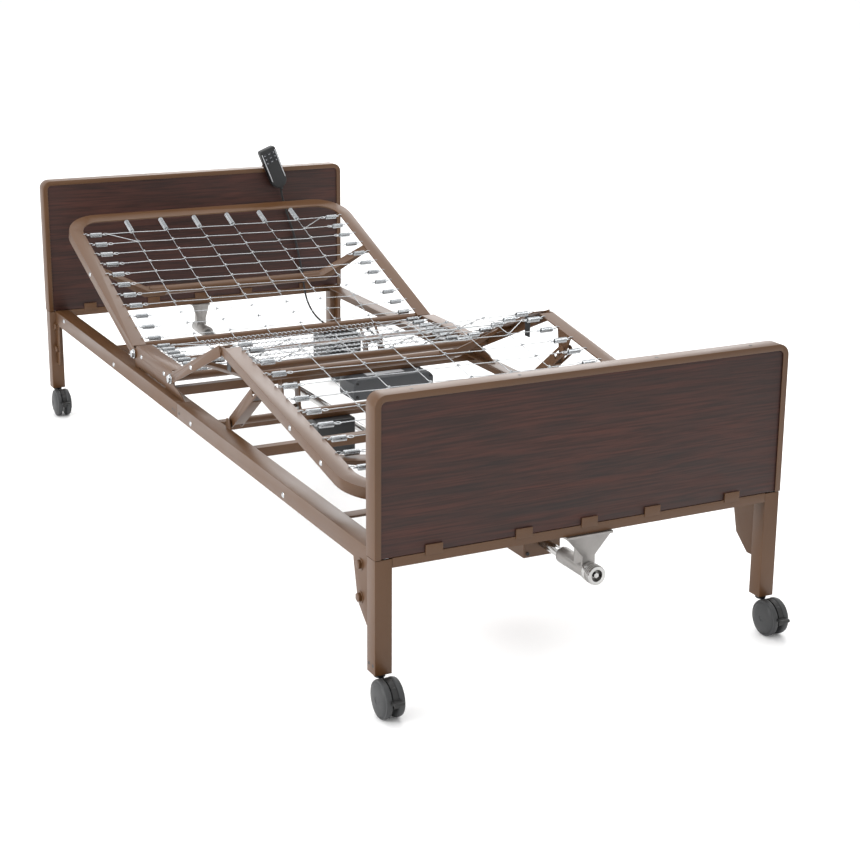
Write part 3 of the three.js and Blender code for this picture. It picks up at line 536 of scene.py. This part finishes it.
@dataclass
class SpringNet:
    """Link-wire sleep surface of one section, hung on coil springs from the frame."""

    section: Section
    first: float
    last: float
    rows: int
    edge: float
    run_from: float
    run_to: float
    end_spring: float | None = None
    level: float = 0.011
    columns: tuple[float, ...] = (-0.25, -0.15, -0.05, 0.05, 0.15, 0.25)
    wire: float = 0.0010
    coil_radius: float = 0.0056
    coil_wire: float = 0.00115
    coil_length: float = 0.032
    end_length: float = 0.054
    hook: float = 0.015
    helical: bool = False

    def rows_at(self) -> list[float]:
        """Gives where each crosswise wire lies along the section."""
        return [self.first + (self.last - self.first) * i / (self.rows - 1) for i in range(self.rows)]

    def spring_mesh(self, length: float) -> bpy.types.Mesh:
        """Winds one extension spring along Z, with a hook at each end.

        Args:
            length: the length of its coiled body.

        Returns:
            The spring as a mesh, its body starting at the origin.
        """
        form = bmesh.new()
        turns = round(length / (2.15 * self.coil_wire))
        steps = turns * 9
        ring = Matrix(((1, 0, 0, self.coil_radius), (0, 0, -1, 0), (0, 1, 0, 0), (0, 0, 0, 1)))
        made = bmesh.ops.create_circle(
            form, cap_ends=False, segments=5, radius=self.coil_wire, matrix=ring
        )
        edges = list({edge for vert in made["verts"] for edge in vert.link_edges})
        bmesh.ops.spin(
            form, geom=made["verts"] + edges, cent=(0, 0, 0), axis=(0, 0, 1),
            dvec=(0, 0, length / steps), angle=2 * pi * turns, steps=steps, use_merge=False,
        )
        for start, side in ((0.0, -1), (length, 1)):
            lathe(
                form,
                [(self.coil_wire * 0.2, -0.0055), (self.coil_wire, -0.005), (self.coil_wire, 0.005),
                 (self.coil_wire * 0.2, 0.0055)],
                Matrix.Translation((0, 0, start + side * 0.0045)), 6,
            )
        bmesh.ops.holes_fill(form, edges=form.edges, sides=6)
        bmesh.ops.recalc_face_normals(form, faces=form.faces)
        mesh = bpy.data.meshes.new("extension_spring")
        form.to_mesh(mesh)
        form.free()
        return mesh

    def springs(self) -> None:
        """Hangs a spring at both ends of each row, and the end springs where there are any."""
        rows = self.rows_at()
        sides = []
        for y in rows:
            for side in (-1, 1):
                start = side * (self.edge - self.hook)
                sides.append(self.section.matrix(start, y, self.level, Vector((-side, 0.0, -0.02))))
        form = bmesh.new()
        repeat(self.spring_mesh(self.coil_length), sides, form)
        if self.end_spring is not None:
            way = 1 if self.end_spring > 0 else -1
            start = self.end_spring - way * 0.006
            ends = [
                self.section.matrix(x, start, self.level - 0.001, Vector((0.0, -way, -0.02)))
                for x in self.columns
            ]
            repeat(self.spring_mesh(self.end_length), ends, form)
        solid(f"{self.section.name}_coil_springs", form, Surface.ZINC_WIRE, self.section.body, 60)

    def crosswise(self) -> list[list[Vector]]:
        """Bends the crosswise links, which sag a little between the lengthwise ones."""
        if self.helical:
            return self.coiled()
        runs = []
        for y in self.rows_at():
            run = []
            for x, after in zip(self.columns, self.columns[1:]):
                run.append(self.section.at(x, y, self.level))
                run.append(self.section.at(x + 0.008, y + 0.0025, self.level - 0.0015))
                run.append(self.section.at(after - 0.008, y - 0.0025, self.level - 0.0015))
            run.append(self.section.at(self.columns[-1], y, self.level))
            runs.append(run)
        return runs

    def coiled(self) -> list[list[Vector]]:
        """Winds the close helical links that lace a short section together."""
        runs = []
        reach, pitch, radius = self.columns[-1], 0.0125, 0.0052
        count = round(2 * reach / pitch * 7)
        for y in self.rows_at():
            run = []
            for i in range(count + 1):
                turn = i * 2 * pi / 7
                x = -reach + 2 * reach * i / count
                height = self.level + 0.5 * radius * sin(turn)
                run.append(self.section.at(x, y + radius * cos(turn), height))
            runs.append(run)
        return runs

    def lengthwise(self) -> list[list[Vector]]:
        """Bends the lengthwise links, kinked where they hook each crosswise one."""
        runs = []
        for x in self.columns:
            run = [self.section.at(x, self.run_from, self.level)]
            for y in sorted(self.rows_at()):
                run.append(self.section.at(x - 0.0022, y - 0.006, self.level + 0.0008))
                run.append(self.section.at(x + 0.0022, y, self.level + 0.0022))
                run.append(self.section.at(x - 0.0022, y + 0.006, self.level + 0.0008))
            run.append(self.section.at(x, self.run_to, self.level))
            runs.append(run)
        return runs

    def ties(self) -> list[list[Vector]]:
        """Draws the ring, the straight link and the outer hook of each side spring."""
        runs = []
        rows = self.rows_at()
        tail = self.edge - self.hook - self.coil_length - 0.004
        for y in rows:
            for side in (-1, 1):
                loop = [
                    self.section.at(
                        side * (tail - 0.006 + 0.007 * cos(turn)), y + 0.0048 * sin(turn), self.level
                    )
                    for turn in (i * pi / 5 for i in range(11))
                ]
                runs.append(loop)
                ring = self.section.at(side * (tail - 0.0125), y, self.level)
                runs.append([ring, self.section.at(side * self.columns[-1], y, self.level)])
                runs.append([
                    self.section.at(side * (self.edge + 0.004), y + 0.002, self.level + 0.003),
                    self.section.at(side * (self.edge - 0.003), y + 0.003, self.level + 0.004),
                    self.section.at(side * (self.edge - self.hook), y, self.level),
                ])
        for side in (-1, 1):
            ring = self.section.at(side * (tail - 0.0125), rows[-1], self.level)
            runs.append([ring, self.section.at(side * self.columns[-1], rows[-2], self.level)])
        return runs

    def build(self) -> None:
        """Makes the wires, the knots at their crossings and the springs."""
        name, body = self.section.name, self.section.body
        net = tubes(
            f"{name}_link_wires", self.crosswise() + self.lengthwise() + self.ties(),
            self.wire, Surface.ZINC_WIRE, body,
        )
        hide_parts(f"{name}_springs")
        knots = []
        for y in self.rows_at():
            for x in self.columns:
                knots.append([
                    self.section.at(
                        x + 0.0034 * cos(turn), y - 0.004 + 0.0011 * i, self.level + 0.0034 * sin(turn)
                    )
                    for i, turn in enumerate(k * pi / 3 for k in range(8))
                ])
        tubes(f"{name}_wire_knots", knots, 0.0009, Surface.ZINC_WIRE, body, 0)
        self.springs()


@dataclass
class Fasteners:
    """Rivets, bolts and punched holes on the rails, bed ends and deck frames."""

    rivet_radius: float = 0.0062
    bolt_radius: float = 0.0095
    frame_shift: float = 0.0255
    rail_rivets: tuple[tuple[float, float], ...] = (
        (0.989, 0.294), (0.521, 0.28), (-0.074, 0.28), (-0.638, 0.28),
    )
    splice_holes: tuple[float, ...] = (0.052, 0.006, 0.036)
    corner_bolts: tuple[float, ...] = (-1.018, 1.067)
    seat_plate_face: float = 0.4216
    foot_leg_holes: tuple[float, ...] = (-1.1065, -1.0895)
    trim_tops: tuple[tuple[float, float], ...] = ((-1.098, 0.615), (1.098, 0.679))

    def rivet_mesh(self) -> bpy.types.Mesh:
        """Turns a pan-head rivet standing on the XY plane."""
        r = self.rivet_radius
        form = bmesh.new()
        lathe(form, [(0, 0.0026), (r * 0.5, 0.0023), (r * 0.85, 0.0012), (r, 0.0), (0, 0)], Matrix(), 20)
        return self.keep("rivet", form)

    def bolt_mesh(self) -> bpy.types.Mesh:
        """Makes a hexagon head on a washer, standing on the XY plane."""
        form = bmesh.new()
        r = self.bolt_radius
        washer = [(0, 0.0014), (r * 1.25, 0.0014), (r * 1.3, 0.0009), (r * 1.3, 0), (0, 0)]
        lathe(form, washer, Matrix(), 24)
        head = bmesh.ops.create_cone(
            form, cap_ends=True, segments=6, radius1=r, radius2=r, depth=0.0062,
            matrix=Matrix.Translation((0, 0, 0.0042)),
        )["verts"]
        edges = list({edge for vert in head for edge in vert.link_edges})
        bmesh.ops.bevel(
            form, geom=head + edges, offset=0.0008, offset_type="OFFSET", segments=2, profile=0.5,
            affect="EDGES", clamp_overlap=True, material=-1,
        )
        return self.keep("hex_bolt", form)

    def hole_shade_mesh(self) -> bpy.types.Mesh:
        """Makes a dark disc of painted shade for each punched opening, a hair proud of its sheet."""
        form = bmesh.new()
        # The disc is painted shade: it stands in for the shadow inside the opening, not for a dark part.
        lathe(form, [(0, 0.0001), (0.0026, 0.0001), (0.0034, 0.0003), (0.0036, 0), (0, 0)], Matrix(), 16)
        return self.keep("painted_hole_shade", form)

    def keep(self, name: str, form: bmesh.types.BMesh) -> bpy.types.Mesh:
        """Stores a finished bmesh as a mesh to repeat."""
        bmesh.ops.recalc_face_normals(form, faces=form.faces)
        mesh = bpy.data.meshes.new(name)
        form.to_mesh(mesh)
        form.free()
        return mesh

    def put(
        self, name: str, shape: bpy.types.Mesh, places: list[Matrix], surface: Surface, body: str
    ) -> None:
        """Repeats one fastener over its places as one piece."""
        form = bmesh.new()
        repeat(shape, places, form)
        solid(name, form, surface, body)

    def build(self, deck: dict[str, Section]) -> None:
        """Sets every fastener on the fixed frame and on the swinging sections."""
        rivet, bolt = self.rivet_mesh(), self.bolt_mesh()
        self.on_frame(rivet, bolt, self.hole_shade_mesh())
        for name, rows in (("back", (0.388,)), ("thigh", (-0.165,)), ("calf", (-0.4, -0.56))):
            self.on_section(deck[name], rows, rivet, bolt)

    def on_frame(self, rivet: bpy.types.Mesh, bolt: bpy.types.Mesh, hole_shade: bpy.types.Mesh) -> None:
        """Sets the rail rivets, corner bolts and punched holes of the frame."""
        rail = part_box("side_rail_foot_left")
        outer = -rail[0].x
        shift = (CAD_BOX[1].y + CAD_BOX[0].y) / 2 + self.frame_shift
        rivets, bolts, holes = [], [], []
        for side in (-1, 1):
            out = Vector((side, 0, 0))
            for y, z in self.rail_rivets:
                rivets.append(facing(Vector((side * outer, y + shift, z)), out))
            for y in self.splice_holes:
                holes.append(facing(Vector((side * outer, y + shift, 0.283)), out))
            for y in self.corner_bolts:
                for z in (0.262, 0.196):
                    bolts.append(facing(Vector((side * outer, y + shift, z)), out))
            for y in (0.165, 0.34):
                rivets.append(facing(Vector((side * self.seat_plate_face, y + shift, 0.34)), out))
            for y in self.foot_leg_holes:
                holes.append(facing(Vector((side * 0.456, y + shift, 0.094)), out))
        for x in (-0.375, -0.152, 0.152, 0.375):
            for y, z in self.trim_tops:
                holes.append(facing(Vector((x, y + shift, z)), Vector((0, 0, 1))))
        self.put("rail_rivets", rivet, rivets, Surface.ZINC_WIRE, "frame")
        self.put("corner_bolts", bolt, bolts, Surface.BROWN_ENAMEL, "frame")
        # The punched holes are dark discs of painted shade in the black oxide finish, standing in for
        # the shadow inside each opening.
        self.put("punched_holes_painted_shade", hole_shade, holes, Surface.BLACK_OXIDE, "frame")

    def on_section(
        self, section: Section, rows: tuple[float, ...], rivet: bpy.types.Mesh, bolt: bpy.types.Mesh
    ) -> None:
        """Sets a section's side rivets, and its hinge pins where it has them.

        Args:
            section: the section that carries them.
            rows: where the rivets lie along it.
            rivet: the rivet's shape.
            bolt: the hinge pin head's shape.
        """
        face = self.seat_plate_face if section.name == "calf" else 0.425
        places = [
            section.matrix(side * face, y, 0.0, Vector((side, 0, 0))) for y in rows for side in (-1, 1)
        ]
        self.put(f"{section.name}_rivets", rivet, places, Surface.ZINC_WIRE, section.body)
        if section.name == "calf":
            return
        heads = [
            section.matrix(side * (face + 0.0002), 0.0, 0.0, Vector((side, 0, 0))) for side in (-1, 1)
        ]
        self.put(f"{section.name}_hinge_pins", bolt, heads, Surface.ZINC_WIRE, section.body)


@dataclass
class Straps:
    """Black nylon straps that hang from the flanges near the knee hinge."""

    place: tuple[float, float] = (0.387, -0.335)
    width: float = 0.024
    drop: float = 0.052
    thick: float = 0.0018

    def build(self, section: Section) -> None:
        """Hangs one strap at each side of the section."""
        form = bmesh.new()
        half = Vector((self.thick / 2, self.width / 2, 0.0))
        for side in (-1, 1):
            top = section.at(side * self.place[0], self.place[1], 0.009)
            block(form, tuple(top - half - Vector((0, 0, self.drop))), tuple(top + half), 0.0006)
        solid("knee_straps", form, Surface.BLACK_ABS, section.body)


@dataclass
class Caster:
    """Twin-wheel caster: domed discs, a hood between them and a brake lever."""

    corner: str
    radius: float = 0.038
    inner: float = 0.006
    width: float = 0.018

    def build(self) -> None:
        """Makes the wheel pair and the housing at one corner."""
        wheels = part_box(f"caster_wheels_{self.corner}")
        centre = (wheels[0] + wheels[1]) / 2
        self.wheels(centre)
        self.housing(centre)

    def wheels(self, centre: Vector) -> None:
        """Turns both discs with their rim step, dished face and hub cap."""
        r, outer = self.radius, self.inner + self.width
        profile = [
            (0, self.inner), (r - 0.003, self.inner), (r - 0.0006, self.inner + 0.002),
            (r, self.inner + 0.005), (r, self.inner + 0.009), (r - 0.0012, self.inner + 0.0125),
            (r - 0.0044, self.inner + 0.0135), (r - 0.005, self.inner + 0.0128),
            (r - 0.0058, self.inner + 0.0138), (r - 0.011, outer - 0.0015),
            (r - 0.02, outer - 0.0003), (0.0065, outer), (0.006, outer - 0.0008),
            (0, outer - 0.0008),
        ]
        form = bmesh.new()
        for side in (-1, 1):
            lathe(form, profile, facing(centre, Vector((side, 0, 0))), 48)
        lathe(
            form, [(0, -self.inner - 0.001), (0.005, -self.inner - 0.001), (0.005, self.inner + 0.001),
                   (0, self.inner + 0.001)], facing(centre, Vector((1, 0, 0))), 20,
        )
        piece = solid(f"wheel_pair_{self.corner}", form, Surface.GREY_NYLON, f"wheels_{self.corner}", 40)
        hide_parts(f"caster_wheels_{self.corner}")

    def housing(self, centre: Vector) -> None:
        """Makes the hood, collar, stem and the brake lever's ledge."""
        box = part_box(f"caster_housing_{self.corner}")
        pivot = Vector(JOINTS[f"swivel_{self.corner}"]["pos_m"])
        form = bmesh.new()
        rim = [
            form.verts.new((side * 0.0054, 0.0, height))
            for side, height in ((-1, 0.03), (-1, 0.0375), (1, 0.0375), (1, 0.03))
        ]
        loop = [form.edges.new(pair) for pair in zip(rim, rim[1:] + rim[:1])]
        form.faces.new(rim)
        bmesh.ops.rotate(form, verts=rim, cent=(0, 0, 0), matrix=Matrix.Rotation(radians(100), 3, "X"))
        bmesh.ops.spin(
            form, geom=rim + loop + list(form.faces), cent=(0, 0, 0), axis=(1, 0, 0),
            angle=radians(-170), steps=22, use_merge=False,
        )
        bmesh.ops.translate(form, verts=form.verts, vec=centre)
        block(form, (pivot.x - 0.0052, centre.y - 0.026, centre.z - 0.008),
              (pivot.x + 0.0052, centre.y + 0.03, centre.z + 0.03), 0.002)
        block(form, (pivot.x - 0.011, centre.y - 0.052, centre.z + 0.004),
              (pivot.x + 0.011, centre.y - 0.034, centre.z + 0.0105), 0.0018)
        collar = Matrix.Translation((pivot.x, pivot.y, 0.0))
        lathe(
            form, [(0, 0.0665), (0.009, 0.0665), (0.0112, 0.0685), (0.0112, 0.0735), (0.0095, 0.0755),
                   (0.0056, 0.0757), (0.0056, box[1].z), (0, box[1].z)], collar, 28,
        )
        body = f"caster_{self.corner}"
        piece = solid(f"caster_body_{self.corner}", form, Surface.BLACK_OXIDE, body, 40)
        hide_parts(f"caster_housing_{self.corner}")


@dataclass
class Handset:
    """Pendant control: rounded shell, key marks, light side strips and its hook."""

    width: float = 0.052
    length: float = 0.126
    thick: float = 0.024
    tilt: float = -22.0
    key_height: float = 0.034

    def frame_of(self) -> Matrix:
        """Works out the handset's place from its keys: the middle one lies over its centre line."""
        low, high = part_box("button_centre_middle")
        key = (low + high) / 2
        turn = Matrix.Rotation(radians(self.tilt), 4, "Y")
        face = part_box("handset_shell")[0].y
        middle = Vector((key.x, face + self.thick / 2, key.z)) - turn @ Vector((0, 0, self.key_height))
        return Matrix.Translation(middle) @ turn

    def build(self) -> None:
        """Makes the shell, its trim and every key's mark."""
        place = self.frame_of()
        self.shell(place)
        self.trim(place)
        self.marks(place)

    def shell(self, place: Matrix) -> None:
        """Shapes the shell from a tapered block with heavy rounding, and the hook behind it."""
        form = bmesh.new()
        half, deep, long = self.width / 2, self.thick / 2, self.length / 2
        size = Matrix.Diagonal((self.width, self.thick, self.length, 1.0))
        corners = bmesh.ops.create_cube(form, size=1.0, matrix=size)["verts"]
        bottom = [vert for vert in corners if vert.co.z < 0]
        bmesh.ops.scale(form, verts=bottom, vec=(0.94, 0.85, 1.0))
        ends = [edge for edge in form.edges if all(abs(v.co.y) > 0 for v in edge.verts)
                and abs(edge.verts[0].co.y - edge.verts[1].co.y) > deep and edge.verts[0].co.z < 0]
        bmesh.ops.bevel(
            form, geom=ends, offset=half * 0.9, offset_type="OFFSET", segments=8, profile=0.5,
            affect="EDGES", clamp_overlap=True, material=-1,
        )
        tops = [edge for edge in form.edges if abs(edge.verts[0].co.y - edge.verts[1].co.y) > deep
                and edge.verts[0].co.z > long * 0.9]
        bmesh.ops.bevel(
            form, geom=tops, offset=0.008, offset_type="OFFSET", segments=4, profile=0.5,
            affect="EDGES", clamp_overlap=True, material=-1,
        )
        rims = [edge for edge in form.edges if edge.calc_face_angle(0) > radians(60)]
        bmesh.ops.bevel(
            form, geom=rims, offset=0.004, offset_type="OFFSET", segments=4, profile=0.5,
            affect="EDGES", clamp_overlap=True, material=-1,
        )
        bmesh.ops.transform(form, matrix=place, verts=form.verts)
        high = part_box("handset_shell")[1]
        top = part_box("head_end_trim")[1].z + 0.0004
        middle = place.translation.x
        block(form, (middle - 0.014, place.translation.y + deep - 0.003, top),
              (middle + 0.022, high.y, top + 0.003), 0.0009)
        block(form, (middle - 0.014, high.y - 0.003, top - 0.022),
              (middle + 0.022, high.y, top + 0.003), 0.0009)
        tip = place @ Vector((0, 0, -long))
        boot = facing(tip, place.to_3x3() @ Vector((0, 0, -1)))
        lathe(
            form, [(0, -0.004), (0.0062, -0.004), (0.0062, 0.001), (0.0054, 0.002), (0.0058, 0.003),
                   (0.0050, 0.004), (0.0054, 0.005), (0.0040, 0.008), (0, 0.008)], boot, 20,
        )
        piece = solid("handset_body", form, Surface.BLACK_ABS, "frame", 40)
        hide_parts("handset_shell")

    def trim(self, place: Matrix) -> None:
        """Adds the light strips down both sides."""
        form = bmesh.new()
        deep = self.thick / 2
        for side in (-1, 1):
            block(form, (side * 0.0215 - 0.0012, -deep - 0.0004, -0.036),
                  (side * 0.0215 + 0.0012, -deep + 0.001, 0.052), 0.0004)
        bmesh.ops.transform(form, matrix=place, verts=form.verts)
        solid("handset_strips", form, Surface.WHITE_INK, "frame")

    def marks(self, place: Matrix) -> None:
        """Prints an arrow on each outer key and a bar on each middle one."""
        columns = {"left": -0.015, "middle": 0.0, "right": 0.015}
        rows = {"top": 0.046, "centre": self.key_height, "bottom": 0.022}
        for row, z in rows.items():
            for column, x in columns.items():
                form = bmesh.new()
                front = -self.thick / 2 - 0.00155
                if column == "middle":
                    block(form, (x - 0.0026, front - 0.0001, z - 0.0005),
                          (x + 0.0026, front + 0.0002, z + 0.0005), 0.0001)
                else:
                    turn = Matrix.Rotation(radians(90), 4, "X") @ Matrix.Rotation(
                        radians(0 if column == "left" else 180), 4, "Z"
                    )
                    bmesh.ops.create_cone(
                        form, cap_ends=True, segments=3, radius1=0.0018, radius2=0.0018, depth=0.0003,
                        matrix=Matrix.Translation((x, front, z)) @ turn,
                    )
                bmesh.ops.transform(form, matrix=place, verts=form.verts)
                solid(f"key_mark_{row}_{column}", form, Surface.WHITE_INK, f"key_{row}_{column}")


@dataclass
class HandsetCord:
    """The handset's cord: down behind the deck, tied under a cross bar, into the control box."""

    radius: float = 0.003
    tie_point: int = 11
    route: tuple[tuple[float, float, float], ...] = (
        (0.2565, 1.0900, 0.613), (0.262, 1.0945, 0.590), (0.276, 1.0985, 0.545), (0.300, 1.0985, 0.470),
        (0.318, 1.0985, 0.390), (0.328, 1.0965, 0.322), (0.332, 1.0745, 0.266), (0.333, 1.0055, 0.232),
        (0.334, 0.8855, 0.223), (0.334, 0.7655, 0.240), (0.334, 0.6955, 0.266), (0.334, 0.6455, 0.2755),
        (0.334, 0.5955, 0.266), (0.333, 0.5055, 0.236), (0.330, 0.4155, 0.224), (0.318, 0.3305, 0.225),
        (0.294, 0.2785, 0.237), (0.274, 0.2585, 0.2435), (0.270, 0.2445, 0.244),
    )

    def build(self) -> None:
        """Draws the cord on its route and the tie that holds it."""
        points = smoothed([Vector(p) for p in self.route], 5)
        piece = tubes("pendant_cord", [points], self.radius, Surface.BLACK_ABS, "frame", 3)
        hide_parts("handset_cord")
        self.tie()

    def tie(self) -> None:
        """Loops a cable tie round the head cross bar and the cord."""
        low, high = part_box("cross_bar_head")
        y = (low.y + high.y) / 2
        reach, x = 0.0142, self.route[self.tie_point][0]
        loop = [(-reach, low.z), (-reach, high.z + 0.0011), (reach, high.z + 0.0011), (reach, low.z),
                (0.005, low.z - 0.0085), (-0.005, low.z - 0.0085), (-reach, low.z)]
        run = [Vector((x, y + dy, z)) for dy, z in loop]
        tubes("cord_tie", [run], 0.0011, Surface.BLACK_ABS, "frame")


@dataclass
class DriveDetails:
    """Coupling rings, cover screws and the blank label on the drive and its box."""

    def build(self) -> None:
        """Adds the small parts that stand on the drive's housings."""
        self.coupling()
        self.screws()
        self.label()

    def coupling(self) -> None:
        """Turns the three raised rings on the foot shaft's crank socket."""
        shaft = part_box("foot_drive_shaft")
        z = (shaft[0].z + shaft[1].z) / 2
        front = Vector((0, shaft[0].y, z))
        form = bmesh.new()
        for step in (0.006, 0.011, 0.016):
            lathe(form, [(0.0188, -0.0012), (0.0197, -0.0008), (0.0197, 0.0008), (0.0188, 0.0012)],
                  facing(front + Vector((0, step, 0)), Vector((0, 1, 0))), 36)
        solid("coupling_rings", form, Surface.CASTING, "foot_shaft", 50)

    def screws(self) -> None:
        """Sets cover screws on the motors, the drive housing and the control box."""
        form = bmesh.new()
        spots = []
        for node in ("back_motor", "knee_motor", "high_low_motor", "control_box"):
            low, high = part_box(node)
            if node == "high_low_motor":
                low, high = Vector((-0.043, low.y, low.z)), Vector((0.043, high.y, high.z))
            for x in (low.x + 0.009, high.x - 0.009):
                for z in (low.z + 0.009, low.z + 0.045):
                    spots.append(facing(Vector((x, low.y, z)), Vector((0, -1, 0))))
        shape = bmesh.new()
        head = [(0, 0.0022), (0.0016, 0.0022), (0.0022, 0.003), (0.0034, 0.0024), (0.004, 0), (0, 0)]
        lathe(shape, head, Matrix(), 18)
        template = bpy.data.meshes.new("cover_screw")
        shape.to_mesh(template)
        shape.free()
        repeat(template, spots, form)
        solid("cover_screws", form, Surface.BLACK_OXIDE, "frame")

    def label(self) -> None:
        """Lays a blank film label on the control box."""
        low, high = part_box("control_box")
        form = bmesh.new()
        block(form, (low.x + 0.05, low.y + 0.03, high.z - 0.0001),
              (high.x - 0.07, high.y - 0.02, high.z + 0.0004), 0.0002)
        solid("blank_label", form, Surface.WHITE_INK, "frame")


@dataclass
class Studio:
    """Floor, lights and the camera."""

    width_px: float = 860
    focal_px: float = 1774.1
    right_px: float = -25.9
    up_px: float = -40.0
    sensor_mm: float = 36
    yaw: float = 27.824
    pitch: float = 15.601
    roll: float = 0.703
    spot: tuple[float, float, float] = (-1.7366, -3.8230, 1.4702)

    def build(self) -> None:
        """Lays the floor, hangs the lights and sets the camera."""
        form = bmesh.new()
        bmesh.ops.create_grid(form, x_segments=2, y_segments=2, size=45.0)
        solid("studio_floor", form, Surface.FLOOR, None)
        self.world()
        self.panel("overhead_light", (0.4, 0.6, 4.2), (0, 0, 0), 4.0, 110)
        self.panel("left_light", (-4.6, -0.8, 2.4), (0, 0, 0.4), 2.6, 130)
        self.panel("far_light", (3.4, 6.2, 3.6), (0, 0, 0.4), 4.2, 150)
        self.camera()

    def world(self) -> None:
        """Fills the studio with even white light."""
        world = bpy.data.worlds.new("studio")
        bpy.context.scene.world = world
        world.use_nodes = True
        back = world.node_tree.nodes["Background"]
        back.inputs["Color"].default_value = (1.0, 1.0, 1.0, 1.0)
        back.inputs["Strength"].default_value = 1.07
        bpy.context.scene.view_settings.view_transform = "Standard"

    def panel(self, name: str, place: tuple, aim: tuple, size: float, power: float) -> None:
        """Hangs one square soft light.

        Args:
            name: the light's name.
            place: where it hangs.
            aim: the point it faces.
            size: its side, in metres.
            power: in watts.
        """
        light = bpy.data.lights.new(name, "AREA")
        light.energy = power
        light.size = size
        holder = bpy.data.objects.new(name, light)
        holder.location = place
        holder.rotation_euler = (Vector(aim) - Vector(place)).to_track_quat("-Z", "Y").to_euler()
        bpy.context.scene.collection.objects.link(holder)

    def camera(self) -> None:
        """Stands the camera at the foot end's left, looking slightly down."""
        data = bpy.data.cameras.new("camera")
        data.sensor_width = self.sensor_mm
        data.lens = self.focal_px / self.width_px * self.sensor_mm
        data.shift_x = self.right_px / self.width_px
        data.shift_y = self.up_px / self.width_px
        data.clip_end = 200
        yaw, pitch = radians(self.yaw), radians(self.pitch)
        forward = Vector((sin(yaw) * cos(pitch), cos(yaw) * cos(pitch), -sin(pitch)))
        holder = bpy.data.objects.new("camera", data)
        holder.location = self.spot
        level = forward.to_track_quat("-Z", "Y").to_matrix()
        turn = level @ Matrix.Rotation(radians(self.roll), 3, "Z")
        holder.rotation_euler = turn.to_euler()
        bpy.context.scene.collection.objects.link(holder)
        bpy.context.scene.camera = holder


def main() -> None:
    """Builds the bed's visible pieces in order and reports each."""
    logging.basicConfig(level=logging.INFO, format="%(message)s")
    Studio().build()
    HandsetCord().build()
    deck = sections()
    inner = 0.387
    nets = [
        SpringNet(deck["back"], 0.045, 0.570, 11, inner, 0.008, 0.573, end_spring=0.6365),
        SpringNet(deck["seat"], 0.030, 0.262, 7, 0.3836, 0.012, 0.272, helical=True),
        SpringNet(deck["thigh"], -0.362, -0.03, 6, inner, -0.368, -0.006),
        SpringNet(deck["calf"], -0.618, -0.040, 10, 0.3836, -0.621, -0.008, end_spring=-0.6865),
    ]
    for net in nets:
        net.build()
        log.info("%s spring net, %d rows", net.section.name, net.rows)
    corners = ["foot_left", "foot_right", "head_left", "head_right"]
    rebuilt = {f"{name}_springs" for name in deck} | {"handset_cord", "handset_shell"}
    for corner in corners:
        Caster(corner).build()
        rebuilt |= {f"caster_wheels_{corner}", f"caster_housing_{corner}"}
        log.info("caster %s", corner)
    Handset().build()
    log.info("handset")
    PressedMetal().build(rebuilt)
    log.info("frame, deck and housings")
    Fasteners().build(deck)
    Straps().build(deck["thigh"])
    DriveDetails().build()
    log.info("fasteners and drive details")


if __name__ == "__main__":
    main()
